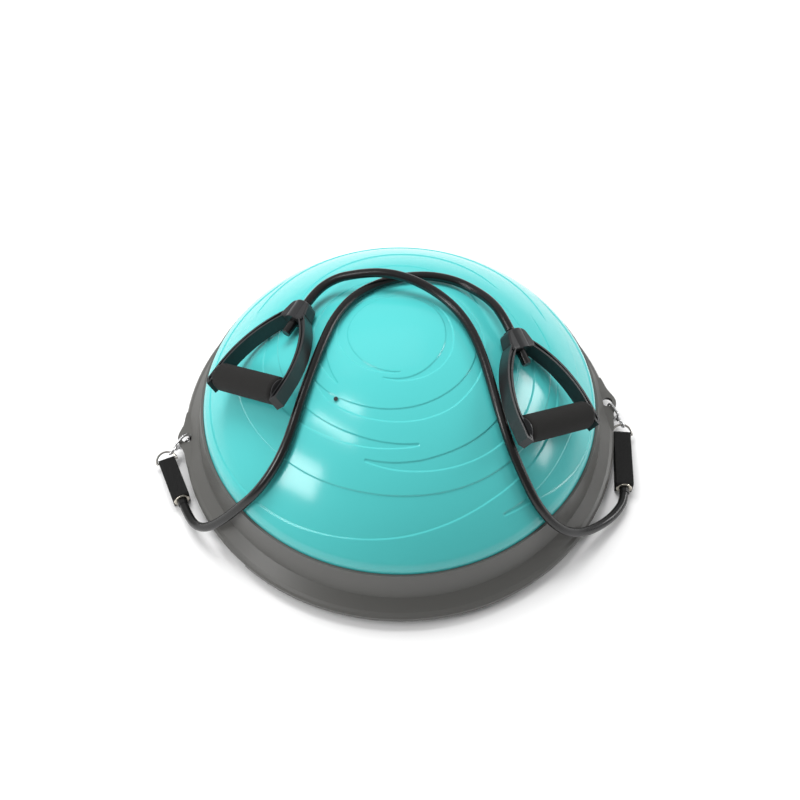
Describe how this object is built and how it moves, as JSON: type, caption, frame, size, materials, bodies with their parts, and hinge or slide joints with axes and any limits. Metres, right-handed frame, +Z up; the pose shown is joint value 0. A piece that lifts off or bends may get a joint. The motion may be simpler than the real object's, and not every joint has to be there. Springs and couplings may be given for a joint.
{
  "type": "balance dome trainer",
  "caption": "Inflated half-ball balance trainer on a flat round base, with elastic resistance tubes and hand grips clipped to side lugs.",
  "frame": {"origin": "middle of the base's underside, on the floor", "axes": "+Z up through the dome's top, +X through the right lug, +Y to the back, away from the side the strap ends lie on"},
  "size_m": [0.6655, 0.6, 0.2445],
  "materials": {
    "base_plastic": "matt moulded, dark grey",
    "rim_plastic": "fine grained, warm grey",
    "screw_steel": "plain",
    "foot_rubber": "matt",
    "dome_rubber": "smooth inflated vinyl, teal",
    "valve_rubber": "matt",
    "hook_chrome": "polished",
    "ring_steel": "nickel plated wire",
    "webbing": "woven webbing",
    "grommet_metal": "pressed",
    "tube_rubber": "satin extruded latex",
    "handle_plastic": "satin moulded",
    "grip_foam": "closed cell foam"
  },
  "bodies": {
    "base": {"base_screws": "screw_steel", "bladder_floor": "dome_rubber", "centre_foot": "foot_rubber", "clamp_ring": "base_plastic", "dome_bladder": "dome_rubber", "grommet_left": "grommet_metal", "grommet_right": "grommet_metal", "lower_base": "base_plastic", "resistance_tube_left": "tube_rubber", "resistance_tube_right": "tube_rubber", "rim_cover": "rim_plastic", "rubber_feet": "foot_rubber", "side_lug_left": "rim_plastic", "side_lug_right": "rim_plastic", "swivel_eye_left": "hook_chrome", "swivel_eye_right": "hook_chrome", "tube_anchor_left": "tube_rubber", "tube_anchor_right": "tube_rubber", "tube_cuff_left": "tube_rubber", "tube_cuff_right": "tube_rubber", "valve_seat": "valve_rubber", "webbing_strap_left": "webbing", "webbing_strap_right": "webbing"},
    "handle_left": {"handle_frame_left": "handle_plastic", "grip_core_left": "handle_plastic", "grip_washers_left": "handle_plastic", "tube_tail_left": "tube_rubber", "tube_stopper_left": "handle_plastic"},
    "grip_left": {"foam_grip_left": "grip_foam"},
    "hook_left": {"snap_hook_left": "hook_chrome", "gate_pin_left": "hook_chrome"},
    "gate_left": {"hook_gate_left": "hook_chrome"},
    "ring_left": {"d_ring_left": "ring_steel"},
    "handle_right": {"handle_frame_right": "handle_plastic", "grip_core_right": "handle_plastic", "grip_washers_right": "handle_plastic", "tube_tail_right": "tube_rubber", "tube_stopper_right": "handle_plastic"},
    "grip_right": {"foam_grip_right": "grip_foam"},
    "hook_right": {"snap_hook_right": "hook_chrome", "gate_pin_right": "hook_chrome"},
    "gate_right": {"hook_gate_right": "hook_chrome"},
    "ring_right": {"d_ring_right": "ring_steel"},
    "valve": {"valve_plug": "valve_rubber"}
  },
  "joints": [
    {"name": "tube_stretch_left", "type": "slide", "parent": "base", "child": "handle_left", "axis": [-0.4356, 0.1415, 0.8889], "range_m": [0, 0.25]},
    {"name": "grip_spin_left", "type": "hinge", "parent": "handle_left", "child": "grip_left", "pos_m": [-0.1929, -0.0396, 0.1911], "axis": [0.6776, -0.5985, 0.4274], "continuous": true},
    {"name": "hook_swivel_left", "type": "hinge", "parent": "base", "child": "hook_left", "pos_m": [-0.29841, -0.00209, 0.0275], "axis": [-0.7448, -0.4419, -0.5], "range_deg": [-12, 12]},
    {"name": "gate_pivot_left", "type": "hinge", "parent": "hook_left", "child": "gate_left", "pos_m": [-0.30456, -0.00574, 0.01529], "axis": [-0.5103, 0.86, 0], "range_deg": [-20, 0], "stiffness_Nm_per_rad": 0.01, "springref_deg": 17.19},
    {"name": "ring_tilt_left", "type": "hinge", "parent": "base", "child": "ring_left", "pos_m": [-0.32543, -0.0265, 0.0116], "axis": [0.9539, 0.3, 0], "range_deg": [-4, 4]},
    {"name": "tube_stretch_right", "type": "slide", "parent": "base", "child": "handle_right", "axis": [0.4825, -0.1091, 0.8691], "range_m": [0, 0.25]},
    {"name": "grip_spin_right", "type": "hinge", "parent": "handle_right", "child": "grip_right", "pos_m": [0.181, -0.1239, 0.173], "axis": [0.8206, 0.4034, -0.4049], "continuous": true},
    {"name": "hook_swivel_right", "type": "hinge", "parent": "base", "child": "hook_right", "pos_m": [0.30044, -0.01034, 0.02379], "axis": [0.4057, -0.8766, -0.2588], "range_deg": [-12, 12]},
    {"name": "gate_pivot_right", "type": "hinge", "parent": "hook_right", "child": "gate_right", "pos_m": [0.30467, -0.01947, 0.01384], "axis": [-0.9075, -0.42, 0], "range_deg": [-20, 0], "stiffness_Nm_per_rad": 0.01, "springref_deg": 17.19},
    {"name": "ring_tilt_right", "type": "hinge", "parent": "base", "child": "ring_right", "pos_m": [0.30929, -0.04738, 0.0116], "axis": [0.9837, -0.1799, 0], "range_deg": [-4, 4]},
    {"name": "valve_pull", "type": "slide", "parent": "base", "child": "valve", "axis": [-0.2713, -0.2495, 0.9296], "range_m": [0, 0.02]}
  ]
}
